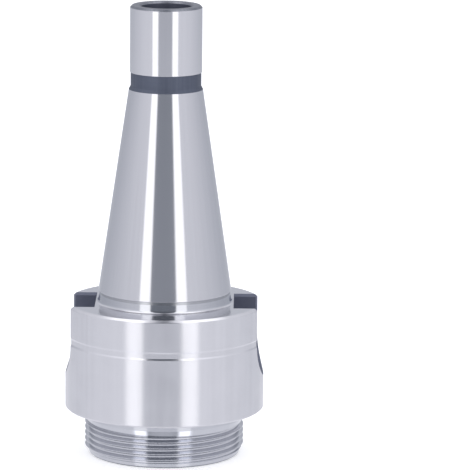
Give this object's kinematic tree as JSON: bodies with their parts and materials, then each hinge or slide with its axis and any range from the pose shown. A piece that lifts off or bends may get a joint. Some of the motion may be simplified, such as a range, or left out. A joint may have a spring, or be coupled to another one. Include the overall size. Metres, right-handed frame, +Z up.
{
  "type": "boring head shank",
  "caption": "One-piece steel boring head shank with a 7:24 spindle taper, tail pilot, two drive slots and a threaded mounting end.",
  "frame": {"origin": "centre of the threaded end's face, the lowest point, on the axis", "axes": "+Z up the axis from the threaded end to the tail; the drive slots open towards +X and -X"},
  "size_m": [0.0476, 0.0476, 0.1082],
  "materials": {
    "steel": "ground bright, blackened where it is not ground"
  },
  "bodies": {
    "root": {"shank": "steel"}
  },
  "joints": []
}
